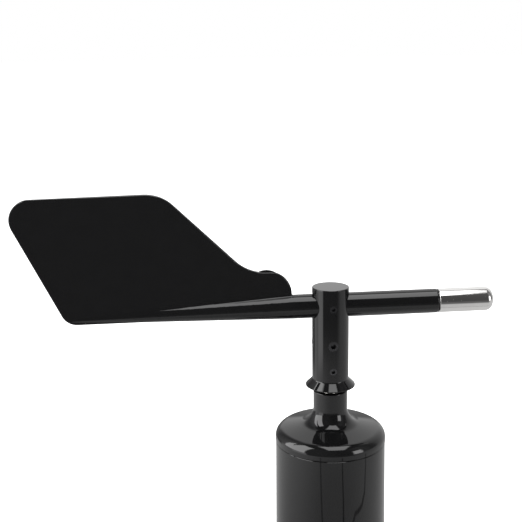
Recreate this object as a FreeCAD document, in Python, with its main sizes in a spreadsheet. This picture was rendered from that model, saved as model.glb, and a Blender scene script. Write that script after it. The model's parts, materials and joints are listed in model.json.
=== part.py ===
"""Wind direction sensor: a balanced vane on a ball-bearing shaft over a flanged, sealed housing.

Frame: +Z up along the turning axis, origin at the centre of the flange's mounting face.
At rest the vane's nose points along +X and its fin along -X. The signal socket faces +Y.
"""

import FreeCAD, Part
import math
import os

import Sketcher

doc = FreeCAD.newDocument("wind_vane")
Vector = FreeCAD.Vector
Z_AXIS = Vector(0, 0, 1)

# ---------------------------------------------------------------- driving dimensions, in mm

DIMENSIONS = """
flange_radius      37.0    mounting flange
flange_thick        5.0
bolt_circle        31.5    radius of the mounting bolts' circle
bolt_radius        2.75    clearance hole for M5
collar_radius      26.2    raised collar round the barrel's foot
collar_top         10.0
floor_top           7.0    base floor, above the mounting face
barrel_foot         6.0
spigot_reach        7.0    length of the base's and the cap's spigots
spigot_radius     20.35
spigot_bore        17.8
seal_depth         1.15    O-ring grooves
seal_width          1.8
seal_section       0.56    radius of an O-ring's section
seam_height        71.0    joint between barrel and cap
barrel_top_radius 22.95
barrel_foot_radius 23.5
barrel_bore        20.5
seam_chamfer        0.4
cap_radius         23.1
shoulder_height    76.0    sharp corner of the cap's shoulder
shoulder_round      4.2
roof_rise           3.7    height that the roof gains from the shoulder to the neck
roof_wall           3.0
flare_round         7.0    hollow curve at the foot of the neck
neck_radius        7.09
neck_top           93.1    below the skirt's foot, so a dark gap shows between them
boss_radius        10.5    lower bearing's boss inside the cap
boss_foot          68.0
shaft_way          4.35    bore round the spacer, between the bearings
arm_height        129.5    axis of the vane's arm
hub_radius         7.54
hub_top          137.34
hub_edge            0.3
skirt_start        98.3    top of the drip skirt's cone
skirt_tip          95.6
skirt_foot         95.3
skirt_radius      10.23
skirt_recess        7.7
recess_roof        97.0
hub_bore_top      122.0
arm_radius         4.98
arm_bore           5.03
arm_end            44.6    nose end of the moulded arm
arm_round           0.9
taper_start       -15.0    where the arm starts to taper into the fin's spine
taper_end        -104.0
root_wide          4.94    half of the spine's width and height at the arm
root_high          4.95
arm_start          -5.0    inside the hub, where the round arm meets the spine
taper_waist       -69.0    where the spine's sides come level with the fin's faces
waist_wide         2.15    half of the spine's width and height there
waist_high         2.84
waist_drop         1.15    how far the spine's centre has fallen there
tail_wide          1.25    the same at the tail
tail_high          1.45
tail_drop           1.9
spine_blend         0.7    hollow curve between the spine and the fin
fin_thick            2.4
fin_edge            0.5
fin_tail_x       -130.5    corners of the fin before rounding
fin_tail_z         47.0
fin_crest_x       -67.2
fin_crest_z       47.95
fin_notch_x       -33.3
fin_notch_z       14.87
fin_root_x        -15.9
fin_heel_x       -106.1
fin_heel_z         -3.7
tail_round          8.1
crest_round        16.0
notch_round        17.0
root_round          9.1
heel_round          6.6
gate_x            -29.5    moulding gate's remnant on top of the root
gate_long           6.5
gate_high          0.75
weight_radius      4.93
weight_length     22.93
weight_round        3.0
stud_radius         2.5
stud_length        12.0
shaft_radius        2.5
shaft_top         121.5
shaft_foot         64.5
shaft_collar        3.1
small_grub          1.5    radius of the M3 grub screws
large_grub          2.1    radius of the M4 grub screws
mid_grub_height   114.0
low_grub_height   103.1
grub_sink          0.15    how far the grub screws lie below the hub's surface
upper_seat         88.6    lower face of the upper bearing
upper_width         4.0
upper_outer         5.0
upper_outer_land    4.3
upper_inner_land    3.2
upper_pitch        3.75
upper_ball         0.75
lower_seat         70.9
lower_width         5.0
lower_outer         8.0
lower_outer_land    6.5
lower_inner_land    4.2
lower_pitch        5.35
lower_ball          1.4
ball_play          0.03
shield_thick       0.22
shield_inset        0.1
shield_play        0.15
spacer_radius      3.15
clip_thick          0.7
clip_radius         4.2
clip_groove         2.0
circlip_thick       1.0
circlip_bore        6.9
circlip_groove      8.5
holder_radius       4.4
holder_foot        61.5
holder_top         69.5
magnet_radius       3.0
magnet_thick        2.5
board_radius       14.2
board_foot         57.0
board_thick         1.6
chip_long           5.0    angle sensor chip
chip_wide           4.0
chip_high           1.1
header_long         9.0    wire header
header_wide         4.0
header_high         4.5
header_y          -10.6
standoff_circle    11.6
standoff_size       4.6    across flats
standoff_stud      1.25
standoff_reach      5.0
pillar_radius       3.0
tie_circle         16.0    radius of the tie screws' circle
tie_radius          1.5
tie_clear           1.7
tie_head            2.75
tie_head_high       3.0
tie_sink            3.4
tie_top            71.5
tie_pillar          2.9
socket_height      28.0    signal socket's axis
socket_pad          9.6    boss on the barrel
socket_pad_in      18.6
socket_pad_out     25.6
socket_bore        6.05
socket_gasket       0.6
socket_thread       5.95
socket_flange       8.4
socket_flange_thick 2.2
socket_front       36.5
socket_back        13.5
socket_wall         1.2
socket_face        35.5
nut_size           15.0    across flats
nut_thick           2.5
pin_radius          0.6
pin_circle          2.6
pin_back           10.5
wire_radius        0.55
wire_spacing        2.0    between the leads at the header
"""


class Size:
    """A number from the sheet, with the expression that binds a property to it."""

    def __init__(self, number, text):
        self.number = float(number)
        self.text = text

    def _with(self, other, sign, work, swap=False):
        other = other if isinstance(other, Size) else Size(other, repr(float(other)))
        left, right = (other, self) if swap else (self, other)
        return Size(work(left.number, right.number), f"({left.text} {sign} {right.text})")

    def __add__(self, other):
        return self._with(other, "+", lambda a, b: a + b)

    def __radd__(self, other):
        return self._with(other, "+", lambda a, b: a + b, swap=True)

    def __sub__(self, other):
        return self._with(other, "-", lambda a, b: a - b)

    def __rsub__(self, other):
        return self._with(other, "-", lambda a, b: a - b, swap=True)

    def __mul__(self, other):
        return self._with(other, "*", lambda a, b: a * b)

    def __truediv__(self, other):
        return self._with(other, "/", lambda a, b: a / b)

    def __neg__(self):
        return self * -1

    def __float__(self):
        return self.number


class Sizes:
    """The spreadsheet of driving dimensions, read by name."""

    def __init__(self, table):
        self._sheet = doc.addObject("Spreadsheet::Sheet", "Sizes")
        lines = [line.split(None, 2) for line in table.strip().splitlines()]
        for row, line in enumerate(lines, 1):
            self._sheet.set(f"A{row}", line[0])
            self._sheet.set(f"B{row}", line[1])
            self._sheet.setAlias(f"B{row}", line[0])
            if len(line) > 2:
                self._sheet.set(f"C{row}", line[2])
        doc.recompute()

    def __getattr__(self, alias):
        return Size(self._sheet.get(alias), f"Sizes.{alias}")


mm = Sizes(DIMENSIONS)
nodes = []


def node(item):
    """Adds a finished piece to those that are written out."""
    nodes.append(item)
    return item


def bind(item, **sizes):
    """Sets properties to sizes, bound to the sheet."""
    for name, size in sizes.items():
        if isinstance(size, Size):
            item.setExpression(name, size.text)
        else:
            setattr(item, name, size)
    return item


def move(item, x=0.0, y=0.0, z=0.0, axis=Z_AXIS, angle=0.0):
    """Turns a piece about an axis through its own origin, then moves it there, bound to the sheet."""
    item.Placement = FreeCAD.Placement(
        Vector(float(x), float(y), float(z)), FreeCAD.Rotation(axis, angle)
    )
    for name, size in (("x", x), ("y", y), ("z", z)):
        if isinstance(size, Size):
            item.setExpression(f"Placement.Base.{name}", size.text)
    return item


# ---------------------------------------------------------------- sketched and turned pieces


def new_body(label):
    return doc.addObject("PartDesign::Body", label)


def origin_part(body, role):
    return next(f for f in body.Origin.OriginFeatures if f.Role == role)


def new_sketch(body, name, plane="XZ_Plane", offset=None):
    """An empty sketch on one of the body's origin planes, raised off it by offset."""
    sketch = body.newObject("Sketcher::SketchObject", name)
    sketch.AttachmentSupport = [(origin_part(body, plane), "")]
    sketch.MapMode = "FlatFace"
    if offset is not None:
        sketch.setExpression("AttachmentOffset.Base.z", offset.text)
    return sketch


def place_point(sketch, line, end, x, y):
    """Fixes one end of a line, or a circle's centre (end 3), at sizes from the sheet."""
    for kind, size, axis in (("DistanceX", x, -2), ("DistanceY", y, -1)):
        if float(size) == 0.0:
            sketch.addConstraint(Sketcher.Constraint("PointOnObject", line, end, axis))
            continue
        index = sketch.addConstraint(
            Sketcher.Constraint(kind, -1, 1, line, end, float(size))
        )
        if isinstance(size, Size):
            sketch.setExpression(f"Constraints[{index}]", size.text)


def outline(body, name, points, plane="XZ_Plane"):
    """A closed outline of straight lines through points, each a pair of sizes."""
    sketch = new_sketch(body, name, plane)
    corners = [Vector(float(x), float(y), 0) for x, y in points]
    count = len(points)
    for i in range(count):
        sketch.addGeometry(Part.LineSegment(corners[i], corners[(i + 1) % count]))
    for i in range(count):
        sketch.addConstraint(Sketcher.Constraint("Coincident", i, 2, (i + 1) % count, 1))
    for i, (x, y) in enumerate(points):
        place_point(sketch, i, 1, x, y)
    return sketch


def oval_sketch(body, name, half_wide, half_high, y, offset):
    """An upright ellipse, taller than wide, its centre at height y on the sketch's vertical axis."""
    sketch = new_sketch(body, name, "YZ_Plane", offset)
    middle = float(y)
    sketch.addGeometry(
        Part.Ellipse(
            Vector(0, middle + float(half_high), 0),
            Vector(-float(half_wide), middle, 0),
            Vector(0, middle, 0),
        )
    )
    sketch.exposeInternalGeometry(0)
    place_point(sketch, 0, 3, 0.0, y)
    sketch.addConstraint(Sketcher.Constraint("Vertical", 1))
    for axis_line, half in ((1, half_high), (2, half_wide)):
        index = sketch.addConstraint(Sketcher.Constraint("Distance", axis_line, float(half) * 2))
        sketch.setExpression(f"Constraints[{index}]", (half * 2).text)
    return sketch


def turned(label, points):
    """A piece turned about Z from an outline of (radius, height) pairs."""
    body = new_body(label)
    sketch = outline(body, f"{label}_outline", points)
    turn = body.newObject("PartDesign::Revolution", f"{label}_turn")
    turn.Profile = sketch
    turn.ReferenceAxis = (sketch, ["V_Axis"])
    turn.Angle = 360
    doc.recompute()
    return body


def edges_where(body, test):
    """Names of the edges of the body's last feature that pass a test."""
    found = body.Tip.Shape.Edges
    return [f"Edge{i}" for i, edge in enumerate(found, 1) if test(edge)]


def is_ring(radius, height):
    """A test for the horizontal circle of that radius about Z at that height."""

    def test(edge):
        return (
            isinstance(edge.Curve, Part.Circle)
            and abs(edge.Curve.Radius - float(radius)) < 1e-4
            and abs(edge.Curve.Center.z - float(height)) < 1e-4
            and abs(edge.Curve.Axis.z) > 0.999
        )

    return test


def dress(body, kind, size, test):
    """Fillets or chamfers the edges that pass a test."""
    names = edges_where(body, test)
    if not names:
        raise RuntimeError(f"{body.Label}: no edge to {kind.lower()}")
    base = body.Tip
    feature = body.newObject(f"PartDesign::{kind}", f"{body.Label}_{kind.lower()}")
    feature.Base = (base, names)
    feature.setExpression("Radius" if kind == "Fillet" else "Size", size.text)
    doc.recompute()
    return feature


def solid(body, kind, name, place, **sizes):
    """Adds or cuts a primitive, such as a SubtractiveCylinder, in a body."""
    feature = body.newObject(f"PartDesign::{kind}", f"{body.Label}_{name}")
    bind(feature, **sizes)
    move(feature, **place)
    return feature


def repeat(body, features, count):
    """Repeats features evenly round Z."""
    pattern = body.newObject("PartDesign::PolarPattern", f"{body.Label}_{features[0].Name}_ring")
    pattern.Originals = features
    pattern.Axis = (origin_part(body, "Z_Axis"), [""])
    pattern.Angle = 360
    pattern.Occurrences = count
    body.Tip = pattern
    doc.recompute()
    return pattern


def around(radius, degrees, **more):
    """Place at an angle on a circle about Z."""
    turn = math.radians(degrees)
    return {"x": radius * math.cos(turn), "y": radius * math.sin(turn), **more}


def outward(degrees):
    """The turn that lays a piece's Z axis along the radius at an angle."""
    turn = math.radians(degrees)
    return {"axis": Vector(-math.sin(turn), math.cos(turn), 0), "angle": 90.0}


# ---------------------------------------------------------------- primitives and booleans


def cylinder(name, radius, height, **place):
    item = doc.addObject("Part::Cylinder", name)
    bind(item, Radius=radius, Height=height)
    return move(item, **place)


def box(name, x, y, z, width, depth, height):
    """A box centred on x and y, standing on z."""
    item = bind(doc.addObject("Part::Box", name), Length=width, Width=depth, Height=height)
    return move(item, x - width / 2, y - depth / 2, z)


def hexagon(name, flats, height, **place):
    """A hexagonal prism, flats across."""
    item = doc.addObject("Part::Prism", name)
    bind(item, Polygon=6, Circumradius=flats / math.sqrt(3), Height=height)
    return move(item, **place)


def cut(label, base, *tools):
    """A base with tools cut out of it."""
    item = doc.addObject("Part::Cut", label)
    item.Base = base
    item.Tool = tools[0] if len(tools) == 1 else fuse(f"{label}_tools", *tools)
    return item


def fuse(label, *shapes):
    item = doc.addObject("Part::MultiFuse", label)
    item.Shapes = list(shapes)
    return item


def group(label, *members):
    """Several separate solids as one node."""
    item = doc.addObject("Part::Compound", label)
    item.Links = list(members)
    return item


def ring(name, outer, inner, height, z):
    """A plain ring about Z."""
    return cut(
        name,
        cylinder(f"{name}_disc", outer, height, z=z),
        cylinder(f"{name}_eye", inner, height + 2.0, z=z - 1.0),
    )


def o_ring(label, centre, height):
    item = bind(doc.addObject("Part::Torus", label), Radius1=centre, Radius2=mm.seal_section)
    return move(item, z=height)


# ---------------------------------------------------------------- housing


TIE_TURN = 30.0  # the tie screws stand clear of the socket and of the standoffs
STANDOFF_TURN = 90.0
BOLT_TURN = 45.0
TIES = STANDOFFS = 3
BOLTS = 4


def spigot(foot, groove_foot, top):
    """Outside of a spigot from foot to top, with its O-ring groove."""
    bottom = mm.spigot_radius - mm.seal_depth
    groove_top = groove_foot + mm.seal_width
    return [
        (mm.spigot_radius, foot),
        (mm.spigot_radius, groove_foot),
        (bottom, groove_foot),
        (bottom, groove_top),
        (mm.spigot_radius, groove_top),
        (mm.spigot_radius, top),
    ]


def build_base():
    """Mounting flange, with the collar and spigot that hold the barrel's foot."""
    top = mm.barrel_foot + mm.spigot_reach
    groove = mm.barrel_foot + mm.spigot_reach * 0.4
    body = turned(
        "base_flange",
        [
            (0.0, 0.0),
            (mm.flange_radius, 0.0),
            (mm.flange_radius, mm.flange_thick),
            (mm.collar_radius, mm.flange_thick),
            (mm.collar_radius, mm.collar_top),
            (mm.barrel_foot_radius + 0.1, mm.collar_top),
            (mm.barrel_foot_radius + 0.1, mm.barrel_foot),
            *spigot(mm.barrel_foot, groove, top),
            (mm.spigot_bore, top),
            (mm.spigot_bore, mm.floor_top),
            (0.0, mm.floor_top),
        ],
    )
    dress(body, "Fillet", mm.flange_thick * 0.3, is_ring(mm.collar_radius, mm.flange_thick))
    dress(
        body,
        "Fillet",
        mm.flange_thick * 0.2,
        lambda e: is_ring(mm.flange_radius, mm.flange_thick)(e)
        or is_ring(mm.collar_radius, mm.collar_top)(e),
    )
    through = dict(Height=mm.floor_top + 2.0)
    bolt = solid(
        body,
        "SubtractiveCylinder",
        "bolt_hole",
        around(mm.bolt_circle, BOLT_TURN, z=-1.0),
        Radius=mm.bolt_radius,
        **through,
    )
    repeat(body, [bolt], BOLTS)
    tie = solid(
        body,
        "SubtractiveCylinder",
        "tie_hole",
        around(mm.tie_circle, TIE_TURN, z=-1.0),
        Radius=mm.tie_clear,
        **through,
    )
    repeat(body, [tie], TIES)
    sink = solid(
        body,
        "SubtractiveCylinder",
        "tie_sink",
        around(mm.tie_circle, TIE_TURN, z=-1.0),
        Radius=mm.tie_head + 0.35,
        Height=mm.tie_sink + 1.0,
    )
    repeat(body, [sink], TIES)
    node(body)
    node(o_ring("base_seal", mm.spigot_radius - mm.seal_section, groove + mm.seal_width / 2))


def build_barrel():
    """Drafted tube between the base and the cap, with the pad for the signal socket."""
    body = turned(
        "body_barrel",
        [
            (mm.barrel_bore, mm.barrel_foot),
            (mm.barrel_foot_radius, mm.barrel_foot),
            (mm.barrel_top_radius, mm.seam_height),
            (mm.barrel_bore, mm.seam_height),
        ],
    )
    dress(body, "Chamfer", mm.seam_chamfer, is_ring(mm.barrel_top_radius, mm.seam_height))
    pad = body.newObject("PartDesign::AdditiveCylinder", "socket_pad")
    bind(pad, Radius=mm.socket_pad, Height=mm.socket_pad_out - mm.socket_pad_in)
    facing = dict(axis=Vector(1, 0, 0), angle=-90.0)
    move(pad, y=mm.socket_pad_in, z=mm.socket_height, **facing)
    doc.recompute()
    outer = mm.socket_pad_out
    dress(
        body,
        "Fillet",
        mm.seam_chamfer * 2,
        lambda e: isinstance(e.Curve, Part.Circle)
        and abs(e.Curve.Axis.y) > 0.999
        and abs(e.Curve.Center.y - float(outer)) < 1e-4,
    )
    solid(
        body,
        "SubtractiveCylinder",
        "socket_hole",
        dict(y=mm.socket_pad_in - 2.0, z=mm.socket_height, **facing),
        Radius=mm.socket_bore,
        Height=mm.socket_pad_out - mm.socket_pad_in + 4.0,
    )
    node(body)


def build_cap():
    """Shouldered cap and neck, which hold both bearings."""
    roof = mm.roof_rise / (mm.cap_radius - mm.neck_radius)  # rise for each mm inward
    spigot_foot = mm.seam_height - mm.spigot_reach
    groove = mm.seam_height - mm.spigot_reach * 0.4 - mm.seal_width

    def ceiling(radius):
        return mm.shoulder_height + roof * (mm.cap_radius - radius) - mm.roof_wall

    circlip_top = mm.lower_seat - 0.05
    circlip_foot = circlip_top - mm.circlip_thick - 0.05
    lower_top = mm.lower_seat + mm.lower_width
    upper_top = mm.upper_seat + mm.upper_width
    body = turned(
        "top_cap",
        [
            (mm.cap_radius, mm.seam_height),
            (mm.cap_radius, mm.shoulder_height),
            (mm.neck_radius, mm.shoulder_height + mm.roof_rise),
            (mm.neck_radius, mm.neck_top),
            (mm.upper_outer + 0.4, mm.neck_top),
            (mm.upper_outer, upper_top),
            (mm.upper_outer, mm.upper_seat),
            (mm.shaft_way, mm.upper_seat),
            (mm.shaft_way, lower_top + 0.5),
            (mm.lower_outer_land + 0.4, lower_top + 0.5),
            (mm.lower_outer_land + 0.4, lower_top),
            (mm.lower_outer, lower_top),
            (mm.lower_outer, circlip_top),
            (mm.circlip_groove, circlip_top),
            (mm.circlip_groove, circlip_foot),
            (mm.lower_outer, circlip_foot),
            (mm.lower_outer, mm.boss_foot),
            (mm.boss_radius, mm.boss_foot),
            (mm.boss_radius, ceiling(mm.boss_radius)),
            (mm.spigot_bore, ceiling(mm.spigot_bore)),
            (mm.spigot_bore, spigot_foot),
            *spigot(spigot_foot, groove, mm.seam_height),
        ],
    )
    dress(body, "Fillet", mm.flare_round, is_ring(mm.neck_radius, mm.shoulder_height + mm.roof_rise))
    dress(body, "Fillet", mm.shoulder_round, is_ring(mm.cap_radius, mm.shoulder_height))
    dress(body, "Fillet", mm.seam_chamfer * 0.6, is_ring(mm.cap_radius, mm.seam_height))
    dress(body, "Fillet", mm.seam_chamfer, is_ring(mm.neck_radius, mm.neck_top))
    tie_pillar = solid(
        body,
        "AdditiveCylinder",
        "tie_pillar",
        around(mm.tie_circle, TIE_TURN, z=spigot_foot),
        Radius=mm.tie_pillar,
        Height=mm.seam_height + 4.0 - spigot_foot,
    )
    repeat(body, [tie_pillar], TIES)
    tie_hole = solid(
        body,
        "SubtractiveCylinder",
        "tie_thread",
        around(mm.tie_circle, TIE_TURN, z=spigot_foot - 1.0),
        Radius=mm.tie_radius,
        Height=mm.tie_top + 2.0 - spigot_foot,
    )
    repeat(body, [tie_hole], TIES)
    pillar = solid(
        body,
        "AdditiveCylinder",
        "standoff_pillar",
        around(mm.standoff_circle, STANDOFF_TURN, z=mm.boss_foot),
        Radius=mm.pillar_radius,
        Height=mm.seam_height + 4.0 - mm.boss_foot,
    )
    repeat(body, [pillar], STANDOFFS)
    hole = solid(
        body,
        "SubtractiveCylinder",
        "standoff_thread",
        around(mm.standoff_circle, STANDOFF_TURN, z=mm.boss_foot - 1.0),
        Radius=mm.standoff_stud,
        Height=mm.standoff_reach + 2.0,
    )
    repeat(body, [hole], STANDOFFS)
    node(body)
    node(o_ring("cap_seal", mm.spigot_radius - mm.seal_section, groove + mm.seal_width / 2))


def socket_screw(name, radius, head_radius, head_high, foot, top, key, circle, turn):
    """A screw standing on its head at foot, with a hexagonal key hole below."""
    place = around(circle, turn)
    whole = fuse(
        f"{name}_blank",
        cylinder(f"{name}_head", head_radius, head_high, z=foot, **place),
        cylinder(f"{name}_shank", radius, top - foot, z=foot, **place),
    )
    return cut(name, whole, hexagon(f"{name}_key", key, head_high * 0.55, z=foot, **place))


def build_tie_screws():
    foot = mm.tie_sink - mm.tie_head_high
    screws = [
        socket_screw(
            f"tie_screw_{i}",
            mm.tie_radius,
            mm.tie_head,
            mm.tie_head_high,
            foot,
            mm.tie_top,
            mm.tie_radius * 1.66,
            mm.tie_circle,
            TIE_TURN + 360.0 * i / TIES,
        )
        for i in range(TIES)
    ]
    node(group("tie_screws", *screws))


# ---------------------------------------------------------------- bearings


BEARING_BALLS = {"upper": 8, "lower": 7}


def groove_race(label, name, inner, outer, foot):
    """One race of a bearing: a ring with the ball track cut in it."""
    width, pitch, ball = (getattr(mm, f"{name}_{part}") for part in ("width", "pitch", "ball"))
    track = bind(
        doc.addObject("Part::Torus", f"{label}_track"), Radius1=pitch, Radius2=ball + mm.ball_play
    )
    move(track, z=foot + width / 2)
    blank = ring(f"{label}_blank", outer, inner, width, foot)
    race = node(cut(label, blank, track))
    doc.recompute()
    if race.Shape.Volume > 0.97 * blank.Shape.Volume:
        raise RuntimeError(f"{label} has no ball track")


def build_bearing(name):
    """A shielded deep-groove bearing: two races, balls, cage and shields."""
    foot, width, pitch, ball = (
        getattr(mm, f"{name}_{part}") for part in ("seat", "width", "pitch", "ball")
    )
    outer, outer_land, inner_land = (
        getattr(mm, f"{name}_{part}") for part in ("outer", "outer_land", "inner_land")
    )
    groove_race(f"{name}_bearing_outer_race", name, outer_land, outer, foot)
    groove_race(f"{name}_bearing_inner_race", name, mm.shaft_radius, inner_land, foot)
    middle = foot + width / 2
    count = BEARING_BALLS[name]

    half_wide, half_high = ball * 0.27, ball * 1.45
    balls, pockets = [], []
    for i in range(count):
        degrees = 360.0 * i / count
        item = bind(doc.addObject("Part::Sphere", f"{name}_ball_{i}"), Radius=ball)
        balls.append(move(item, z=middle, **around(pitch, degrees)))
        pockets.append(
            cylinder(
                f"{name}_pocket_{i}",
                ball + mm.ball_play * 2,
                ball * 2,
                **around(pitch - ball, degrees, z=middle, **outward(degrees)),
            )
        )
    node(group(f"{name}_bearing_balls", *balls))
    band = ring(
        f"{name}_cage_band", pitch + half_wide, pitch - half_wide, half_high * 2, middle - half_high
    )
    node(cut(f"{name}_bearing_cage", band, *pockets))

    heights = (foot + mm.shield_inset, foot + width - mm.shield_inset - mm.shield_thick)
    shields = [
        ring(f"{name}_shield_{i}", outer_land, inner_land + mm.shield_play, mm.shield_thick, z)
        for i, z in enumerate(heights)
    ]
    node(group(f"{name}_bearing_shields", *shields))


def build_circlip():
    """Internal retaining ring under the lower bearing, open between its two eyes."""
    foot = mm.lower_seat - mm.circlip_thick - 0.05
    whole = ring("circlip_ring", mm.circlip_groove - 0.05, mm.circlip_bore, mm.circlip_thick, foot)
    gap = box("circlip_gap", 0.0, -mm.lower_outer, foot - 1.0, 3.0, 6.0, mm.circlip_thick + 2.0)
    node(cut("bearing_circlip", whole, gap))


# ---------------------------------------------------------------- rotor


def build_shaft():
    """Ground shaft with the collar that the hub sits on and a groove for the clip."""
    collar_foot = mm.upper_seat + mm.upper_width
    groove_top = mm.lower_seat
    groove_foot = groove_top - mm.clip_thick
    body = turned(
        "rotor_shaft",
        [
            (0.0, mm.shaft_foot),
            (mm.shaft_radius, mm.shaft_foot),
            (mm.shaft_radius, groove_foot),
            (mm.clip_groove, groove_foot),
            (mm.clip_groove, groove_top),
            (mm.shaft_radius, groove_top),
            (mm.shaft_radius, collar_foot),
            (mm.shaft_collar, collar_foot),
            (mm.shaft_collar, mm.recess_roof),
            (mm.shaft_radius, mm.recess_roof),
            (mm.shaft_radius, mm.shaft_top),
            (0.0, mm.shaft_top),
        ],
    )
    dress(body, "Chamfer", mm.hub_edge, is_ring(mm.shaft_radius, mm.shaft_top))
    node(body)
    lower_top = mm.lower_seat + mm.lower_width
    length = mm.upper_seat - lower_top
    node(ring("bearing_spacer", mm.spacer_radius, mm.shaft_radius, length, lower_top))
    clip = ring("clip_ring", mm.clip_radius, mm.clip_groove, mm.clip_thick, groove_foot)
    mouth = box(
        "clip_mouth",
        mm.clip_radius,
        0.0,
        groove_foot - 1.0,
        mm.clip_radius * 2,
        mm.clip_groove * 1.5,
        mm.clip_thick + 2.0,
    )
    node(cut("shaft_clip", clip, mouth))


def build_magnet():
    """Cup on the shaft's foot with the magnet that the angle sensor reads."""
    pocket = mm.holder_foot + mm.magnet_thick
    body = turned(
        "magnet_holder",
        [
            (mm.magnet_radius, mm.holder_foot),
            (mm.holder_radius, mm.holder_foot),
            (mm.holder_radius, mm.holder_top),
            (mm.shaft_radius, mm.holder_top),
            (mm.shaft_radius, mm.shaft_foot),
            (0.0, mm.shaft_foot),
            (0.0, pocket),
            (mm.magnet_radius, pocket),
        ],
    )
    node(body)
    node(cylinder("encoder_magnet", mm.magnet_radius, mm.magnet_thick, z=mm.holder_foot))


def build_hub():
    """Turned hub: drip skirt at the foot, cross bore for the arm, four grub screws."""
    body = turned(
        "vane_hub",
        [
            (mm.shaft_radius, mm.recess_roof),
            (mm.skirt_recess, mm.recess_roof),
            (mm.skirt_recess, mm.skirt_foot),
            (mm.skirt_radius, mm.skirt_foot),
            (mm.skirt_radius, mm.skirt_tip),
            (mm.hub_radius, mm.skirt_start),
            (mm.hub_radius, mm.hub_top),
            (0.0, mm.hub_top),
            (0.0, mm.hub_bore_top),
            (mm.shaft_radius, mm.hub_bore_top),
        ],
    )
    dress(body, "Fillet", mm.hub_edge, is_ring(mm.hub_radius, mm.hub_top))
    dress(body, "Fillet", mm.hub_edge * 2, is_ring(mm.hub_radius, mm.skirt_start))
    along_x = dict(axis=Vector(0, 1, 0), angle=90.0)
    toward_tail = dict(axis=Vector(0, 1, 0), angle=-90.0)
    toward_front = dict(axis=Vector(1, 0, 0), angle=90.0)
    solid(
        body,
        "SubtractiveCylinder",
        "arm_hole",
        dict(x=-mm.hub_radius * 2, z=mm.arm_height, **along_x),
        Radius=mm.arm_bore,
        Height=mm.hub_radius * 4,
    )
    doc.recompute()
    mouth = mm.hub_edge
    dress(
        body,
        "Chamfer",
        mouth,
        lambda e: not isinstance(e.Curve, (Part.Circle, Part.Line))
        and abs(e.BoundBox.Center.z - float(mm.arm_height)) < 1.0,
    )
    grubs = []
    long_reach, arm_reach = mm.hub_radius - mm.shaft_radius, mm.hub_radius - mm.arm_radius
    for name, radius, height, place, reach in (
        ("arm_grub", mm.small_grub, mm.arm_height, toward_front, arm_reach),
        ("front_grub", mm.large_grub, mm.mid_grub_height, toward_front, long_reach),
        ("tail_grub", mm.large_grub, mm.mid_grub_height, toward_tail, long_reach),
        ("low_grub", mm.small_grub, mm.low_grub_height, toward_front, long_reach),
    ):
        start = mm.hub_radius - reach
        tail = place is toward_tail
        foot = dict(x=-start) if tail else dict(y=-start)
        solid(
            body,
            "SubtractiveCylinder",
            f"{name}_hole",
            dict(z=height, **foot, **place),
            Radius=radius,
            Height=reach + 3.0,
        )
        length = reach - mm.grub_sink
        key_foot = -(start + length - radius * 0.9)
        key_place = dict(x=key_foot) if tail else dict(y=key_foot)
        blank = cylinder(f"{name}_blank", radius, length, z=height, **foot, **place)
        key = hexagon(f"{name}_key", radius * 0.95, radius * 2, z=height, **key_place, **place)
        grubs.append(cut(name, blank, key))
    doc.recompute()
    node(body)
    arm_grub, *shaft_grubs = grubs
    arm_grub.Label = "arm_grub_screw"
    node(arm_grub)
    node(group("shaft_grub_screws", *shaft_grubs))


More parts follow.
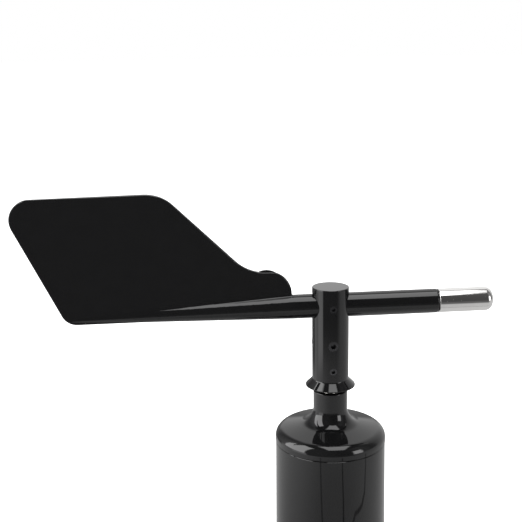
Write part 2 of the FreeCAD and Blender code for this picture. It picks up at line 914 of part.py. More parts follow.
def build_vane():
    """Moulded fin, tapered spine and arm in one piece, and the nose weight."""
    body = new_body("tail_vane")
    level = mm.arm_height
    corners = [
        (mm.fin_tail_x, level + mm.fin_tail_z),
        (mm.fin_crest_x, level + mm.fin_crest_z),
        (mm.fin_notch_x, level + mm.fin_notch_z),
        (mm.fin_root_x, level + mm.fin_notch_z),
        (mm.fin_root_x, level + mm.fin_heel_z),
        (mm.fin_heel_x, level + mm.fin_heel_z),
    ]
    plate = body.newObject("PartDesign::Pad", "fin_plate")
    plate.Profile = outline(body, "fin_outline", corners)
    plate.Midplane = True
    plate.setExpression("Length", mm.fin_thick.text)
    doc.recompute()

    def corner(x, z):
        def test(edge):
            middle = edge.BoundBox.Center
            flat = abs(edge.BoundBox.YLength - float(mm.fin_thick)) < 1e-3
            return flat and abs(middle.x - float(x)) < 0.01 and abs(middle.z - float(z)) < 0.01

        return test

    for (x, z), size in zip(
        corners[:4] + corners[5:],
        (mm.tail_round, mm.crest_round, mm.notch_round, mm.root_round, mm.heel_round),
    ):
        dress(body, "Fillet", size, corner(x, z))
    faces = float(mm.fin_thick) / 2
    dress(
        body,
        "Fillet",
        mm.fin_edge,
        lambda e: e.BoundBox.YLength < 1e-3
        and abs(abs(e.BoundBox.Center.y) - faces) < 1e-3
        and e.BoundBox.XLength > 1e-3,
    )
    gate = body.newObject("PartDesign::AdditiveCylinder", "gate_remnant")
    gate_round = (mm.gate_long * mm.gate_long / 4 + mm.gate_high * mm.gate_high) / (mm.gate_high * 2)
    bind(gate, Radius=gate_round, Height=mm.fin_thick * 0.45)
    move(
        gate,
        x=mm.gate_x + mm.gate_long / 2,
        y=mm.fin_thick * 0.48,
        z=level + mm.fin_notch_z + mm.gate_high - gate_round,
        axis=Vector(1, 0, 0),
        angle=90.0,
    )
    foot, *others = [
        oval_sketch(body, name, wide, high, middle, offset)
        for name, wide, high, middle, offset in (
            ("spine_foot", mm.root_wide, mm.root_high, level, mm.arm_start),
            ("spine_root", mm.root_wide, mm.root_high, level, mm.taper_start),
            ("spine_waist", mm.waist_wide, mm.waist_high, level - mm.waist_drop, mm.taper_waist),
            ("spine_tail", mm.tail_wide, mm.tail_high, level - mm.tail_drop, mm.taper_end),
        )
    ]
    spine = body.newObject("PartDesign::AdditiveLoft", "spine")
    spine.Profile = foot
    spine.Sections = others
    spine.Ruled = True
    doc.recompute()
    dress(
        body,
        "Fillet",
        mm.spine_blend,
        lambda e: e.BoundBox.YLength < 1e-3
        and abs(abs(e.BoundBox.Center.y) - faces) < 1e-3
        and isinstance(e.Curve, Part.BSplineCurve)
        and e.BoundBox.ZMax > float(level - mm.tail_high)
        and e.BoundBox.XMin > float(mm.taper_waist) - 0.01,
    )
    along_x = dict(axis=Vector(0, 1, 0), angle=90.0)
    solid(
        body,
        "AdditiveCylinder",
        "arm",
        dict(x=mm.arm_start, z=level, **along_x),
        Radius=mm.arm_radius,
        Height=mm.arm_end - mm.arm_start,
    )
    doc.recompute()
    dress(
        body,
        "Fillet",
        mm.arm_round,
        lambda e: isinstance(e.Curve, Part.Circle)
        and abs(e.Curve.Center.x - float(mm.arm_end)) < 1e-4,
    )
    solid(
        body,
        "SubtractiveCylinder",
        "stud_hole",
        dict(x=mm.arm_end - mm.stud_length - 0.5, z=level, **along_x),
        Radius=mm.stud_radius,
        Height=mm.stud_length + 2.0,
    )
    doc.recompute()
    node(body)

    weight = turned(
        "nose_weight",
        [
            (0.0, -mm.stud_length),
            (mm.stud_radius, -mm.stud_length),
            (mm.stud_radius, 0.0),
            (mm.weight_radius, 0.0),
            (mm.weight_radius, mm.weight_length),
            (0.0, mm.weight_length),
        ],
    )
    dress(weight, "Fillet", mm.weight_round, is_ring(mm.weight_radius, mm.weight_length))
    dress(weight, "Fillet", mm.hub_edge, is_ring(mm.weight_radius, 0.0))
    move(weight, x=mm.arm_end, z=level, **along_x)
    node(weight)


# ---------------------------------------------------------------- electronics


def build_board():
    """Angle sensor board hung under the lower bearing on three standoffs."""
    top = mm.board_foot + mm.board_thick
    holes = [
        cylinder(
            f"board_hole_{i}",
            mm.standoff_stud + 0.1,
            mm.board_thick + 2.0,
            z=mm.board_foot - 1.0,
            **around(mm.standoff_circle, STANDOFF_TURN + 360.0 * i / STANDOFFS),
        )
        for i in range(STANDOFFS)
    ]
    disc = cylinder("board_disc", mm.board_radius, mm.board_thick, z=mm.board_foot)
    node(cut("sensor_board", disc, *holes))
    node(box("angle_sensor", 0.0, 0.0, top, mm.chip_long, mm.chip_wide, mm.chip_high))
    parts = [  # x, y, width, depth and height of what hangs under the board
        (0.0, 5.5, 5.0, 5.0, 1.0),
        (-6.0, -3.5, 3.2, 1.6, 1.2),
        (-7.6, 1.5, 2.0, 3.4, 1.5),
        (4.9, -2.4, 4.0, 4.0, 2.4),
        (1.0, -6.0, 3.2, 1.6, 1.2),
    ]
    chips = []
    for i, (x, y, wide, deep, high) in enumerate(parts):
        chips.append(box(f"chip_{i}", x, y, mm.board_foot - high, wide, deep, high))
    node(group("board_components", *chips))
    standoffs, screws = [], []
    for i in range(STANDOFFS):
        place = around(mm.standoff_circle, STANDOFF_TURN + 360.0 * i / STANDOFFS)
        post = fuse(
            f"standoff_post_{i}",
            hexagon(f"standoff_hex_{i}", mm.standoff_size, mm.boss_foot - top, z=top, **place),
            cylinder(
                f"standoff_stud_{i}",
                mm.standoff_stud,
                mm.standoff_reach,
                z=mm.boss_foot,
                **place,
            ),
        )
        thread = cylinder(
            f"standoff_thread_{i}", mm.standoff_stud, mm.standoff_reach + 1.0, z=top - 1.0, **place
        )
        standoffs.append(cut(f"standoff_{i}", post, thread))
        head = mm.standoff_stud * 1.2
        screws.append(
            socket_screw(
                f"board_screw_{i}",
                mm.standoff_stud,
                mm.standoff_stud * 1.8,
                head,
                mm.board_foot - head,
                top + mm.standoff_reach * 0.8,
                mm.standoff_stud * 1.4,
                mm.standoff_circle,
                STANDOFF_TURN + 360.0 * i / STANDOFFS,
            )
        )
    node(group("board_standoffs", *standoffs))
    node(group("board_screws", *screws))


WIRES = 4


def contact_place(i):
    """x and z of a contact, on its circle round the socket's axis."""
    turn = math.radians(45.0 + 360.0 * i / WIRES)
    return (
        mm.pin_circle * math.cos(turn),
        mm.socket_height + mm.pin_circle * math.sin(turn),
    )


def build_header():
    """Four-way wire header under the board."""
    foot = mm.board_foot - mm.header_high
    node(
        box("wire_header", 0.0, mm.header_y, foot, mm.header_long, mm.header_wide, mm.header_high)
    )


def build_socket():
    """Round panel socket: threaded shell, gasket, lock nut, insert and contacts."""
    facing = dict(z=mm.socket_height, axis=Vector(1, 0, 0), angle=-90.0)
    gasket_in, gasket_out = mm.socket_pad_out, mm.socket_pad_out + mm.socket_gasket
    gasket = cut(
        "socket_gasket",
        cylinder("gasket_disc", mm.socket_flange - 0.2, mm.socket_gasket, y=gasket_in, **facing),
        cylinder("gasket_eye", mm.socket_bore, mm.socket_gasket + 2.0, y=gasket_in - 1.0, **facing),
    )
    node(gasket)
    flange_out = gasket_out + mm.socket_flange_thick
    inner = mm.socket_thread - mm.socket_wall
    shell = new_body("socket_shell")
    sketch = outline(
        shell,
        "socket_shell_outline",
        [
            (inner, mm.socket_back),
            (mm.socket_thread, mm.socket_back),
            (mm.socket_thread, gasket_out),
            (mm.socket_flange, gasket_out),
            (mm.socket_flange, flange_out),
            (mm.socket_thread, flange_out),
            (mm.socket_thread, mm.socket_front),
            (inner, mm.socket_front),
        ],
    )
    turn = shell.newObject("PartDesign::Revolution", "socket_shell_turn")
    turn.Profile = sketch
    turn.ReferenceAxis = (sketch, ["V_Axis"])
    turn.Angle = 360
    doc.recompute()
    dress(shell, "Fillet", mm.hub_edge, is_ring(mm.socket_flange, flange_out))
    dress(shell, "Chamfer", mm.hub_edge, is_ring(mm.socket_thread, mm.socket_front))
    move(shell, **facing)
    node(shell)
    nut = cut(
        "socket_nut",
        hexagon("nut_hex", mm.nut_size, mm.nut_thick, y=mm.socket_pad_in - mm.nut_thick, **facing),
        cylinder(
            "nut_thread",
            mm.socket_thread,
            mm.nut_thick + 2.0,
            y=mm.socket_pad_in - mm.nut_thick - 1.0,
            **facing,
        ),
    )
    node(nut)
    holes, pins = [], []
    for i in range(WIRES):
        x, z = contact_place(i)
        place = dict(facing, x=x, z=z)
        holes.append(
            cylinder(
                f"contact_hole_{i}",
                mm.pin_radius,
                mm.socket_face - mm.socket_back + 2.0,
                **place,
                y=mm.socket_back - 1.0,
            )
        )
        sleeve = cylinder(
            f"contact_sleeve_{i}", mm.pin_radius, mm.socket_face - mm.pin_back, **place, y=mm.pin_back
        )
        eye = cylinder(
            f"contact_eye_{i}", mm.pin_radius * 0.6, 6.0, **place, y=mm.socket_face - 5.0
        )
        pins.append(cut(f"contact_{i}", sleeve, eye))
    block = cylinder(
        "insert_block", inner, mm.socket_face - mm.socket_back, y=mm.socket_back, **facing
    )
    node(cut("socket_insert", block, *holes))
    node(group("socket_contacts", *pins))


def rounded_path(points, share=0.45):
    """Straight runs joined by tangent arcs, each as large as its two runs allow."""
    edges, start = [], points[0]
    for before, at, after in zip(points, points[1:], points[2:]):
        way_in, way_out = (at - before).normalize(), (after - at).normalize()
        trim = share * min((at - before).Length, (after - at).Length)
        first, last = at - way_in * trim, at + way_out * trim
        half_turn = way_in.getAngle(way_out) / 2
        radius = trim / math.tan(half_turn)
        inward = (way_out - way_in).normalize()
        centre = at + inward * (radius / math.cos(half_turn))
        middle = centre - inward * radius
        edges.append(Part.LineSegment(start, first).toShape())
        edges.append(Part.Arc(first, middle, last).toShape())
        start = last
    edges.append(Part.LineSegment(start, points[-1]).toShape())
    return Part.Wire(edges)


def build_wires():
    """Four leads from the socket's contacts up to the header under the board."""
    radius, spacing = float(mm.wire_radius), float(mm.wire_spacing)
    header_y, header_foot = float(mm.header_y), float(mm.board_foot - mm.header_high)
    slots = (1.5, -1.5, -0.5, 0.5)  # each lead's place in the header, in spacings from its middle
    leads = []
    for i, slot in enumerate(slots):
        x, z = (float(size) for size in contact_place(i))
        slot_x = slot * spacing
        slack = 1.6 if z < float(mm.socket_height) else 0.0  # the lower pair hangs further back
        path = rounded_path(
            [
                Vector(x, float(mm.pin_back), z),
                Vector(x, 3.0 - slack, z),
                Vector(slot_x * 1.2, -4.5 - slack, z + 6.0),
                Vector(slot_x * 1.1, header_y + 0.6 - slack, header_foot - 9.0),
                Vector(slot_x, header_y, header_foot),
            ]
        )
        first = path.Edges[0]
        section = Part.Circle(first.firstVertex(True).Point, first.tangentAt(0.0), radius)
        lead = path.makePipeShell([Part.Wire([section.toShape()])], True, True)
        ideal = math.pi * radius**2 * path.Length
        if abs(lead.Volume / ideal - 1) > 0.02:
            raise RuntimeError(f"lead {i} has {lead.Volume:.1f} mm3 and not {ideal:.1f}")
        leads.append(lead)
    item = doc.addObject("Part::Feature", "signal_leads")
    item.Shape = Part.Compound(leads)
    node(item)


# ---------------------------------------------------------------- checks and files


def balance():
    """How far the rotor's centre of mass lies off the shaft's axis, in mm."""
    density = {"nose_weight": 7.85, "rotor_shaft": 7.85, "vane_hub": 1.1, "tail_vane": 1.1}
    mass = offset = 0.0
    for item in nodes:
        if item.Label in density:
            weight = density[item.Label] * item.Shape.Volume
            mass += weight
            offset += weight * item.Shape.CenterOfGravity.x
    return offset / mass


def write_nodes():
    os.makedirs("parts", exist_ok=True)
    for old in os.listdir("parts"):
        os.remove(os.path.join("parts", old))
    doc.recompute()
    for item in doc.Objects:
        if "Invalid" in item.State or "Error" in item.State:
            raise RuntimeError(f"{item.Label} failed: {item.State}")
    for item in nodes:
        shape = item.Shape
        if shape.isNull() or not shape.isValid() or not shape.Solids:
            raise RuntimeError(f"{item.Label} has no valid solid")
        if any(s.Volume <= 0 for s in shape.Solids):
            raise RuntimeError(f"{item.Label} has a solid with no volume")
        shape.exportStep(os.path.join("parts", f"{item.Label}.step"))
        print(f"{item.Label:28s} solids {len(shape.Solids):2d}  {shape.Volume:10.1f} mm3")


build_base()
build_barrel()
build_cap()
build_tie_screws()
for bearing in BEARING_BALLS:
    build_bearing(bearing)
build_circlip()
build_shaft()
build_magnet()
build_hub()
build_vane()
build_board()
build_header()
build_socket()
build_wires()
write_nodes()
print(f"{len(nodes)} nodes; the rotor's centre of mass is {balance():.2f} mm off the shaft's axis")
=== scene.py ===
"""The looks of a wind direction sensor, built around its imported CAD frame. Lengths are in metres."""

import json
import math

import bmesh
import bpy
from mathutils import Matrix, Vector


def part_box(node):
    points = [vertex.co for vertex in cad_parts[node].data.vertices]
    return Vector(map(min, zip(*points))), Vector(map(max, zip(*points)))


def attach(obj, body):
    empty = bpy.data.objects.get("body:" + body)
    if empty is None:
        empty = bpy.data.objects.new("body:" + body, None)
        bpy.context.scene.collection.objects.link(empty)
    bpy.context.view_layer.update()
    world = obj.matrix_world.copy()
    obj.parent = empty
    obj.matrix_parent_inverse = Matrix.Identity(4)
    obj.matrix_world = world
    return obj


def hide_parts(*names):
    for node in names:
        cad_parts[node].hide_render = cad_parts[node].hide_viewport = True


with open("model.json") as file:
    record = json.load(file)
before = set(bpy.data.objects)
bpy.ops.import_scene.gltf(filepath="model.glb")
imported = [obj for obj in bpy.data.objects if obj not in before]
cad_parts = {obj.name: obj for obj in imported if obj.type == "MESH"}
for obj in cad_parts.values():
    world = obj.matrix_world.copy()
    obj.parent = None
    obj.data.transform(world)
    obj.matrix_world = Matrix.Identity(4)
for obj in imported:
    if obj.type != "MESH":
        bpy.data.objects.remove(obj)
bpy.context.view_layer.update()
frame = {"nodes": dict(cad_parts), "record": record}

MM = 0.001
ARM_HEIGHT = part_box("nose_weight")[0].lerp(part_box("nose_weight")[1], 0.5).z

# ---------------------------------------------------------------- shading helpers


class Shader:
    """A material with one Principled surface, which its methods add texture to."""

    def __init__(self, name, colour, roughness, **sockets):
        self.material = bpy.data.materials.new(name)
        self.material.use_nodes = True
        self.nodes = self.material.node_tree.nodes
        self.links = self.material.node_tree.links
        self.surface = self.nodes["Principled BSDF"]
        self.surface.inputs["Base Color"].default_value = (*colour, 1.0)
        self.surface.inputs["Roughness"].default_value = roughness
        for socket, value in sockets.items():
            self.surface.inputs[socket.replace("_", " ")].default_value = value
        self.place = self.nodes.new("ShaderNodeTexCoord").outputs["Object"]
        self.height = None

    def noise(self, size, detail=3.0):
        """Cloudy noise from 0 to 1, with features of that size."""
        noise = self.nodes.new("ShaderNodeTexNoise")
        noise.inputs["Scale"].default_value = 1.0 / size
        noise.inputs["Detail"].default_value = detail
        self.links.new(self.place, noise.inputs["Vector"])
        return noise.outputs["Fac"]

    def spots(self, spacing, radius):
        """1 inside round spots about spacing apart, 0 outside."""
        cells = self.nodes.new("ShaderNodeTexVoronoi")
        cells.inputs["Scale"].default_value = 1.0 / spacing
        self.links.new(self.place, cells.inputs["Vector"])
        return self.remap(cells.outputs["Distance"], radius / spacing, 0.6 * radius / spacing, 0.0, 1.0)

    def grooves(self, size, direction, distortion=0.0):
        """Fine parallel grooves of that width, repeated along a direction."""
        wave = self.nodes.new("ShaderNodeTexWave")
        wave.wave_type = "BANDS"
        wave.bands_direction = direction
        wave.inputs["Scale"].default_value = math.pi / (10.0 * size)
        wave.inputs["Distortion"].default_value = distortion
        wave.inputs["Detail"].default_value = 1.0
        self.links.new(self.place, wave.inputs["Vector"])
        return wave.outputs["Fac"]

    def remap(self, value, low, high, new_low, new_high):
        """Value's range from low to high becomes new_low to new_high, held at the ends."""
        remap = self.nodes.new("ShaderNodeMapRange")
        sockets = ("From Min", "From Max", "To Min", "To Max")
        for socket, number in zip(sockets, (low, high, new_low, new_high)):
            remap.inputs[socket].default_value = number
        self.links.new(value, remap.inputs["Value"])
        return remap.outputs["Result"]

    def colours(self, value, first, second):
        """Base colour runs from first to second as value goes from 0 to 1."""
        mix = self.nodes.new("ShaderNodeMix")
        mix.data_type = "RGBA"
        mix.inputs["A"].default_value = (*first, 1.0)
        mix.inputs["B"].default_value = (*second, 1.0)
        self.links.new(value, mix.inputs["Factor"])
        self.links.new(mix.outputs["Result"], self.surface.inputs["Base Color"])
        return self

    def roughness(self, value, low, high):
        """Roughness runs from low to high as value goes from 0 to 1."""
        self.links.new(self.remap(value, 0.3, 0.7, low, high), self.surface.inputs["Roughness"])
        return self

    def bump(self, value, depth):
        """Value stands that deep on the surface, on top of any bump before it."""
        bump = self.nodes.new("ShaderNodeBump")
        bump.inputs["Distance"].default_value = depth
        bump.inputs["Strength"].default_value = 1.0
        self.links.new(value, bump.inputs["Height"])
        if self.height:
            self.links.new(self.height, bump.inputs["Normal"])
        self.height = bump.outputs["Normal"]
        self.links.new(self.height, self.surface.inputs["Normal"])
        return self


# ---------------------------------------------------------------- materials


def moulded_plastic(name, dark, light, roughness, grain):
    """Glossy moulded plastic: a trace of orange peel and a cloudy gloss."""
    shader = Shader(name, dark, roughness, IOR=1.5)
    shader.colours(shader.noise(6 * MM), dark, light)
    shader.roughness(shader.noise(9 * MM, 5.0), roughness * 0.8, roughness * 1.25)
    shader.bump(shader.noise(1.3 * MM, 2.0), grain)
    return shader.material


def turned_metal(name, colour, roughness, axis, groove, depth):
    """Bar turned on a lathe: faint rings along its axis and cloudy handling marks."""
    shader = Shader(name, colour, roughness, Metallic=1.0)
    cloud = shader.noise(4 * MM, 4.0)
    shader.colours(cloud, [0.9 * c for c in colour], colour)
    shader.roughness(cloud, roughness * 0.8, roughness * 1.3)
    shader.bump(shader.grooves(groove, axis, distortion=0.4), depth)
    return shader.material


def plain_metal(name, colour, roughness, grain):
    """Pressed, plated or ground metal with a fine random texture."""
    shader = Shader(name, colour, roughness, Metallic=1.0)
    cloud = shader.noise(3 * MM, 4.0)
    shader.colours(cloud, [0.82 * c for c in colour], colour)
    shader.roughness(shader.noise(0.5 * MM, 2.0), roughness * 0.75, roughness * 1.3)
    shader.bump(shader.noise(0.15 * MM, 2.0), grain)
    return shader.material


def rubber(name):
    shader = Shader(name, (0.012, 0.012, 0.012), 0.6)
    shader.colours(shader.noise(1.5 * MM), (0.008, 0.008, 0.008), (0.02, 0.02, 0.02))
    shader.roughness(shader.noise(0.8 * MM), 0.5, 0.75)
    shader.bump(shader.noise(0.2 * MM), 0.02 * MM)
    return shader.material


def circuit_board(name):
    """Green solder mask: weave of the glass cloth, and copper pads that show through as lighter spots."""
    shader = Shader(name, (0.01, 0.09, 0.03), 0.3)
    pads = shader.spots(1.6 * MM, 0.45 * MM)
    shader.colours(pads, (0.008, 0.085, 0.03), (0.02, 0.2, 0.07))
    shader.roughness(shader.noise(2 * MM), 0.25, 0.4)
    shader.bump(shader.grooves(0.4 * MM, "X"), 0.01 * MM)
    shader.bump(shader.grooves(0.4 * MM, "Y"), 0.01 * MM)
    return shader.material


def moulded_matt(name, colour, roughness=0.5):
    """Matt moulded resin or nylon with a fine spark-eroded grain."""
    shader = Shader(name, colour, roughness)
    shader.colours(shader.noise(1.2 * MM), [0.8 * c for c in colour], [min(1.1 * c, 1.0) for c in colour])
    shader.roughness(shader.noise(0.6 * MM), roughness * 0.8, roughness * 1.2)
    shader.bump(shader.noise(0.12 * MM), 0.01 * MM)
    return shader.material


def all_materials():
    """One finished material for each of the record's slots."""
    return {
        "housing_plastic": moulded_plastic(
            "housing_plastic", (0.0030, 0.0030, 0.0032), (0.0042, 0.0042, 0.0044), 0.045, 0.0004 * MM
        ),
        "vane_plastic": moulded_plastic(
            "vane_plastic", (0.0028, 0.0028, 0.0030), (0.0040, 0.0040, 0.0042), 0.045, 0.0004 * MM
        ),
        "polished_steel": turned_metal(
            "polished_steel", (0.82, 0.81, 0.80), 0.05, "X", 0.12 * MM, 0.0003 * MM
        ),
        "black_steel": plain_metal("black_steel", (0.12, 0.12, 0.125), 0.2, 0.003 * MM),
        "stainless": turned_metal("stainless", (0.60, 0.59, 0.57), 0.2, "Z", 0.1 * MM, 0.001 * MM),
        "spring_steel": plain_metal("spring_steel", (0.16, 0.15, 0.15), 0.3, 0.004 * MM),
        "bearing_steel": turned_metal(
            "bearing_steel", (0.68, 0.67, 0.66), 0.12, "Z", 0.08 * MM, 0.0005 * MM
        ),
        "ball_steel": plain_metal("ball_steel", (0.72, 0.72, 0.72), 0.05, 0.0002 * MM),
        "cage_brass": plain_metal("cage_brass", (0.70, 0.48, 0.20), 0.25, 0.003 * MM),
        "holder_aluminium": turned_metal(
            "holder_aluminium", (0.74, 0.75, 0.76), 0.28, "Z", 0.15 * MM, 0.003 * MM
        ),
        "nickel": plain_metal("nickel", (0.66, 0.62, 0.56), 0.16, 0.001 * MM),
        "seal_rubber": rubber("seal_rubber"),
        "board_green": circuit_board("board_green"),
        "chip_black": moulded_matt("chip_black", (0.02, 0.02, 0.021)),
        "header_white": moulded_matt("header_white", (0.75, 0.73, 0.64), 0.4),
        "contact_gold": plain_metal("contact_gold", (0.85, 0.58, 0.2), 0.15, 0.0006 * MM),
        "lead_plastic": moulded_matt("lead_plastic", (0.45, 0.02, 0.015), 0.35),
    }


def paint_frame(materials):
    """Every CAD node takes the finished material of its own slot."""
    for row in frame["record"]["subparts"]:
        node = frame["nodes"][row["node"]]
        for place in node.material_slots:
            place.material = materials[row["material_slot"]]


# ---------------------------------------------------------------- studio

# What the glossy surfaces mirror, by compass direction seen from the object. Azimuth is in degrees
# from the front (-Y) towards the right (+X), elevation in degrees. White paper is 1.
# The levels and edges in this section were worked out by a separate script from the brightness of
# the reflections in the photograph, then smoothed and adjusted by hand.
SURROUND = (
    (-180, 1.10), (-168, 0.95), (-158, 0.35), (-146, 0.22), (-130, 0.42), (-114, 0.70),
    (-60, 0.15), (-30, 0.15), (10, 0.06), (36, 0.10), (60, 0.30), (70, 0.28), (82, 0.16),
    (93, 0.24), (101, 0.55), (120, 0.75), (140, 0.88), (152, 1.05), (180, 1.10),
)
# Softboxes: lowest and highest azimuth, lowest and highest elevation, radiance.
SOFTBOXES = ((-112, -62, -3, 61, 5.0), (38, 58, -10, 27, 4.4))
BOX_EDGE = 5.0
# The overhead softbox is a rectangle in x / height and y / height.
OVERHEAD = (-0.16, 0.36, -0.58, 0.36)
OVERHEAD_RADIANCE = 3.4
OVERHEAD_EDGE = 0.06
CANOPY_RADIANCE = 0.07
# Behind the object, low down: the azimuths and the elevations where a dimmer card fades in.
LOW_BACK_RADIANCE = 0.35
LOW_BACK_AZIMUTHS = (150, 160)
LOW_BACK_ELEVATIONS = (12, 6)
# The ceiling: y / height where its lit back part starts and is full, that part's radiance, and the
# elevations where the ceiling takes over from the surround.
CEILING_BACK = (0.40, 0.62)
CEILING_BACK_RADIANCE = 0.75
CEILING_ELEVATIONS = (50, 62)
SHELL_RADIUS = 2.5


def rise(value, start, end):
    """0 before start and 1 after end, with a smooth step between."""
    t = min(max((value - start) / (end - start), 0.0), 1.0)
    return t * t * (3.0 - 2.0 * t)


def window(value, low, high, edge):
    """1 from low to high and 0 outside, with smooth edges that wide."""
    return rise(value, low - edge / 2, low + edge / 2) * rise(value, high + edge / 2, high - edge / 2)


def along(points, value):
    """The second number of the points, read off at value with straight lines between."""
    for (x0, y0), (x1, y1) in zip(points, points[1:]):
        if value <= x1:
            return y0 + (y1 - y0) * max(value - x0, 0.0) / (x1 - x0)
    return points[-1][1]


def studio_radiance(direction):
    """How bright the studio is in that direction from the object."""
    azimuth = math.degrees(math.atan2(direction.x, -direction.y))
    elevation = math.degrees(math.asin(direction.z))
    level = along(SURROUND, azimuth)
    low_back = rise(abs(azimuth), *LOW_BACK_AZIMUTHS) * rise(elevation, *LOW_BACK_ELEVATIONS)
    level += (LOW_BACK_RADIANCE - level) * low_back
    if direction.z > 0.3:
        across, back = direction.x / direction.z, direction.y / direction.z
        behind = rise(back, *CEILING_BACK)
        canopy = CANOPY_RADIANCE + (CEILING_BACK_RADIANCE - CANOPY_RADIANCE) * behind
        level += (canopy - level) * rise(elevation, *CEILING_ELEVATIONS)
        level += (OVERHEAD_RADIANCE - level) * (
            window(across, OVERHEAD[0], OVERHEAD[1], OVERHEAD_EDGE)
            * window(back, OVERHEAD[2], OVERHEAD[3], OVERHEAD_EDGE)
        )
    for left, right, low, high, radiance in SOFTBOXES:
        share = window(azimuth, left, right, BOX_EDGE) * window(elevation, low, high, BOX_EDGE)
        level += (radiance - level) * share
    return level


# Patches of the table: lowest and highest azimuth, edge in degrees, the reach where each starts and
# where it is full, and radiance.
TABLE_PATCHES = (
    (-70, 44, 30, 0.20, 0.42, 0.13),
    (-90, -57, 6, 0.26, 0.34, 1.90),
    (-175, -122, 10, 0.24, 0.32, 0.25),
    (158, 200, 10, 0.15, 0.30, 0.30),
    (-200, -165, 10, 0.15, 0.30, 0.30),
)


# The rest of the table: its level, what the left half gains, and what the front near the base loses.
TABLE_LEVEL = 0.66
LEFT_GAIN = 0.45
FRONT_LOSS = 0.22


def floor_radiance(x, y):
    """How bright the table looks in a reflection, by place: bright on the left, dark in front."""
    azimuth = math.degrees(math.atan2(x, -y))
    reach = math.hypot(x, y)
    level = TABLE_LEVEL + LEFT_GAIN * rise(-x, 0.03, 0.25) * rise(y, -0.40, -0.10)
    level -= FRONT_LOSS * window(azimuth, -50, 40, 60) * rise(reach, 0.30, 0.10)
    for left, right, edge, start, full, radiance in TABLE_PATCHES:
        level += (radiance - level) * window(azimuth, left, right, edge) * rise(reach, start, full)
    return level


# Dark strips on the table, which show as three thin lines on the barrel: points, and how bright each
# looks. A separate script traced seven of the points from the photograph. The rest extend the lines.
LEFT_SEAM = ((-0.096, -0.176), (-0.081, -0.151), (-0.057, -0.117), (-0.036, -0.088), (-0.019, -0.050))
MIDDLE_SEAM = ((0.047, -0.205), (0.040, -0.164), (0.034, -0.125), (0.024, -0.090), (0.013, -0.050))
RIGHT_SEAM = (
    (0.190, -0.096), (0.150, -0.074), (0.115, -0.066), (0.095, -0.071),
    (0.070, -0.088), (0.040, -0.085), (0.026, -0.055),
)
TABLE_SEAMS = ((LEFT_SEAM, 0.18), (MIDDLE_SEAM, 0.10), (RIGHT_SEAM, 0.18))
SEAM_WIDTH = 0.006
# The reflected table top is a square with this half side. It and the strips lie just under the object.
TABLE_HALF_SIDE = 1.5
TABLE_DROP = 0.5 * MM
STRIP_DROP = 0.4 * MM


def offset_points(points, distance):
    """The line of points moved sideways by distance."""
    moved = []
    for i, (x, y) in enumerate(points):
        x0, y0 = points[max(i - 1, 0)]
        x1, y1 = points[min(i + 1, len(points) - 1)]
        length = math.hypot(x1 - x0, y1 - y0)
        moved.append((x - distance * (y1 - y0) / length, y + distance * (x1 - x0) / length))
    return moved


def only_for_reflections(piece):
    """The camera and soft light don't see the piece, and it casts no shadow."""
    piece.visible_camera = False
    piece.visible_diffuse = False
    piece.visible_transmission = False
    piece.visible_volume_scatter = False
    piece.visible_shadow = False


def glowing(name, bm, radiance):
    """Makes bm a piece that glows with radiance(position) at each corner."""
    layer = bm.verts.layers.float_color.new("glow")
    for vert in bm.verts:
        level = radiance(vert.co)
        vert[layer] = (level, level, level, 1.0)
    mesh = bpy.data.meshes.new(name)
    bm.to_mesh(mesh)
    bm.free()
    piece = bpy.data.objects.new(name, mesh)
    bpy.context.scene.collection.objects.link(piece)
    material = bpy.data.materials.new(name)
    material.use_nodes = True
    nodes = material.node_tree.nodes
    nodes.clear()
    attribute = nodes.new("ShaderNodeAttribute")
    attribute.attribute_name = "glow"
    emission = nodes.new("ShaderNodeEmission")
    output = nodes.new("ShaderNodeOutputMaterial")
    material.node_tree.links.new(attribute.outputs["Color"], emission.inputs["Color"])
    material.node_tree.links.new(emission.outputs["Emission"], output.inputs["Surface"])
    material.cycles.emission_sampling = "NONE"
    mesh.materials.append(material)
    only_for_reflections(piece)


def build_reflections():
    """A shell of softboxes and dark cards round the object, and a table top, for reflections only."""
    centre = Vector((0.0, 0.0, ARM_HEIGHT))
    shell = bmesh.new()
    bmesh.ops.create_uvsphere(shell, u_segments=240, v_segments=120, radius=SHELL_RADIUS)
    bmesh.ops.translate(shell, verts=shell.verts, vec=centre)
    glowing("studio_shell", shell, lambda place: studio_radiance((place - centre).normalized()))
    top = bmesh.new()
    bmesh.ops.create_grid(top, x_segments=120, y_segments=120, size=TABLE_HALF_SIDE)
    bmesh.ops.translate(top, verts=top.verts, vec=Vector((0.0, 0.0, -TABLE_DROP)))
    glowing("studio_table", top, lambda place: floor_radiance(place.x, place.y))
    for number, (points, radiance) in enumerate(TABLE_SEAMS, 1):
        strip = bmesh.new()
        edges = [offset_points(points, side * SEAM_WIDTH / 2) for side in (-1, 1)]
        rows = [[strip.verts.new((x, y, -STRIP_DROP)) for x, y in edge] for edge in edges]
        for i in range(len(points) - 1):
            strip.faces.new((rows[0][i], rows[0][i + 1], rows[1][i + 1], rows[1][i]))
        glowing(f"table_seam_{number}", strip, lambda place, level=radiance: level)


# The floor that the camera sees: radius, depth below the object, white level and its own faint glow.
FLOOR_RADIUS = 12.0
FLOOR_DROP = 0.1 * MM
FLOOR_WHITE = 0.93
FLOOR_GLOW = 0.12


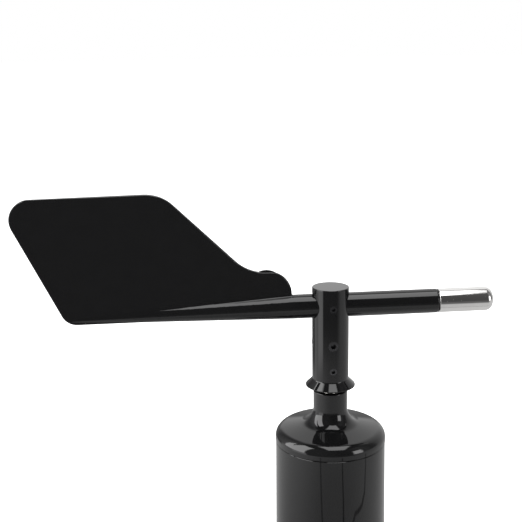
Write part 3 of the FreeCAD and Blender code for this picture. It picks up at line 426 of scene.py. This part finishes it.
def build_floor():
    """A wide white table top, which takes the soft shadows."""
    bm = bmesh.new()
    bmesh.ops.create_circle(bm, cap_ends=True, segments=96, radius=FLOOR_RADIUS)
    mesh = bpy.data.meshes.new("floor")
    bm.to_mesh(mesh)
    bm.free()
    floor = bpy.data.objects.new("floor", mesh)
    bpy.context.scene.collection.objects.link(floor)
    floor.location.z = -FLOOR_DROP
    floor.visible_glossy = False
    shader = Shader("floor_white", (FLOOR_WHITE, FLOOR_WHITE, FLOOR_WHITE), 0.9)
    shader.surface.inputs["Specular IOR Level"].default_value = 0.0
    shader.surface.inputs["Emission Color"].default_value = (1.0, 1.0, 1.0, 1.0)
    shader.surface.inputs["Emission Strength"].default_value = FLOOR_GLOW
    mesh.materials.append(shader.material)


def area_light(name, place, size, power):
    """A square soft light that points at the object and stays out of reflections."""
    data = bpy.data.lights.new(name, "AREA")
    data.size = size
    data.energy = power
    light = bpy.data.objects.new(name, data)
    bpy.context.scene.collection.objects.link(light)
    light.location = place
    aim = Vector((0, 0, 0.5 * ARM_HEIGHT)) - Vector(place)
    light.rotation_euler = aim.to_track_quat("-Z", "Y").to_euler()
    light.visible_glossy = False


def build_studio():
    scene = bpy.context.scene
    scene.world = bpy.data.worlds.new("white_room")
    scene.world.use_nodes = True
    background = scene.world.node_tree.nodes["Background"]
    background.inputs["Color"].default_value = (1.0, 1.0, 1.0, 1.0)
    background.inputs["Strength"].default_value = 1.0
    scene.view_settings.view_transform = "Standard"
    build_floor()
    build_reflections()
    area_light("overhead_light", (0.1, 0.1, 1.6), 1.2, 30.0)
    area_light("left_light", (-1.4, -0.3, 0.9), 1.0, 16.0)


# The camera's place, its angles in degrees, and its lens and sensor width in millimetres.
CAMERA_PLACE = (-0.062921, -0.360818, 0.2352)
CAMERA_ANGLES = (76.63, 0.882, -5.708)
CAMERA_LENS = 64.18
CAMERA_SENSOR = 36.0


def build_camera():
    data = bpy.data.cameras.new("camera")
    data.lens = CAMERA_LENS
    data.sensor_width = CAMERA_SENSOR
    camera = bpy.data.objects.new("camera", data)
    camera.location = CAMERA_PLACE
    camera.rotation_euler = [math.radians(angle) for angle in CAMERA_ANGLES]
    bpy.context.scene.collection.objects.link(camera)
    bpy.context.scene.camera = camera


# ---------------------------------------------------------------- refined pieces


SHARP_ANGLE = 35.0


def shown(name, bm, material, body):
    """Makes bm a visible piece: smooth but for its corners, in its material, on its body."""
    mesh = bpy.data.meshes.new(name)
    bmesh.ops.recalc_face_normals(bm, faces=bm.faces)
    bm.to_mesh(mesh)
    bm.free()
    mesh.shade_smooth()
    mesh.set_sharp_from_angle(angle=math.radians(SHARP_ANGLE))
    mesh.materials.append(material)
    piece = bpy.data.objects.new(name, mesh)
    bpy.context.scene.collection.objects.link(piece)
    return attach(piece, body)


def build_socket_shell():
    """Turned shell of the signal socket: knurled flange, and a real helical thread for the plug's ring."""
    low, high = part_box("socket_shell")
    centre_z = (low.z + high.z) / 2
    front, back = high.y, low.y
    flange_radius = (high.x - low.x) / 2
    thread_foot, flange_back = front - 8.1 * MM, front - 10.3 * MM
    outer, bore = 5.95 * MM, 4.75 * MM
    pitch, depth = 1.0 * MM, 0.5 * MM
    lead_in, chamfer = 0.6 * MM, 0.3 * MM
    knurls, knurl_depth = 64, 0.14 * MM
    steps = int(round((front - thread_foot) / (pitch / 8)))
    profile = [(bore, back, None), (outer, back, None), (outer, flange_back, None)]
    profile.append((flange_radius - chamfer, flange_back, None))
    profile.append((flange_radius, flange_back + chamfer, "knurl"))
    profile.append((flange_radius, thread_foot - chamfer, "knurl"))
    profile.append((flange_radius - chamfer, thread_foot, None))
    for i in range(steps + 1):
        profile.append((outer, thread_foot + (front - thread_foot) * i / steps, "thread"))
    profile.append((bore, front, None))
    turns = 256
    bm = bmesh.new()
    rows = []
    for radius, y, kind in profile:
        row = []
        for i in range(turns):
            turn = i / turns
            r = radius
            if kind == "knurl":
                r -= knurl_depth * (0.5 + 0.5 * math.cos(2 * math.pi * turn * knurls))
            elif kind == "thread":
                ridge = abs(2 * ((y / pitch - turn) % 1.0) - 1)
                fade = rise(y, thread_foot, thread_foot + lead_in)
                r -= depth * ridge * fade
                r = min(r, outer - 0.45 * MM * rise(y, front - lead_in, front))
            angle = 2 * math.pi * turn
            row.append(bm.verts.new((r * math.cos(angle), y, centre_z + r * math.sin(angle))))
        rows.append(row)
    for first, second in zip(rows, rows[1:] + rows[:1]):
        for i in range(turns):
            j = (i + 1) % turns
            bm.faces.new((first[i], first[j], second[j], second[i]))
    shell = shown("socket_shell_threaded", bm, materials["nickel"], "housing")
    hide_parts("socket_shell")


def islands(bm):
    """The connected groups of faces of bm."""
    left = set(bm.faces)
    groups = []
    while left:
        group, fringe = set(), [left.pop()]
        while fringe:
            face = fringe.pop()
            group.add(face)
            near = {f for edge in face.edges for f in edge.link_faces} & left
            left -= near
            fringe += near
        groups.append(group)
    return groups


def face_key(face):
    """The face's centre, rounded so that it can be looked up."""
    return tuple(round(c, 7) for c in face.calc_center_median())


def build_leads():
    """The four leads inside the housing, each in its own colour of insulation."""
    colours = {
        "red": (0.45, 0.02, 0.015),
        "black": (0.012, 0.012, 0.012),
        "green": (0.02, 0.22, 0.05),
        "white": (0.7, 0.7, 0.66),
    }
    source = bmesh.new()
    source.from_mesh(frame["nodes"]["signal_leads"].data)
    bmesh.ops.remove_doubles(source, verts=source.verts, dist=0.001 * MM)
    groups = [{face_key(face) for face in group} for group in islands(source)]
    groups.sort(key=lambda group: sum(c[0] for c in group) / len(group))
    for (name, colour), group in zip(colours.items(), groups):
        bm = source.copy()
        others = [face for face in bm.faces if face_key(face) not in group]
        bmesh.ops.delete(bm, geom=others, context="FACES")
        material = moulded_matt(f"lead_{name}", colour, 0.35)
        lead = shown(f"signal_lead_{name}", bm, material, "housing")
        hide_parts("signal_leads")
    source.free()


materials = all_materials()
paint_frame(materials)
build_socket_shell()
build_leads()
build_studio()
build_camera()
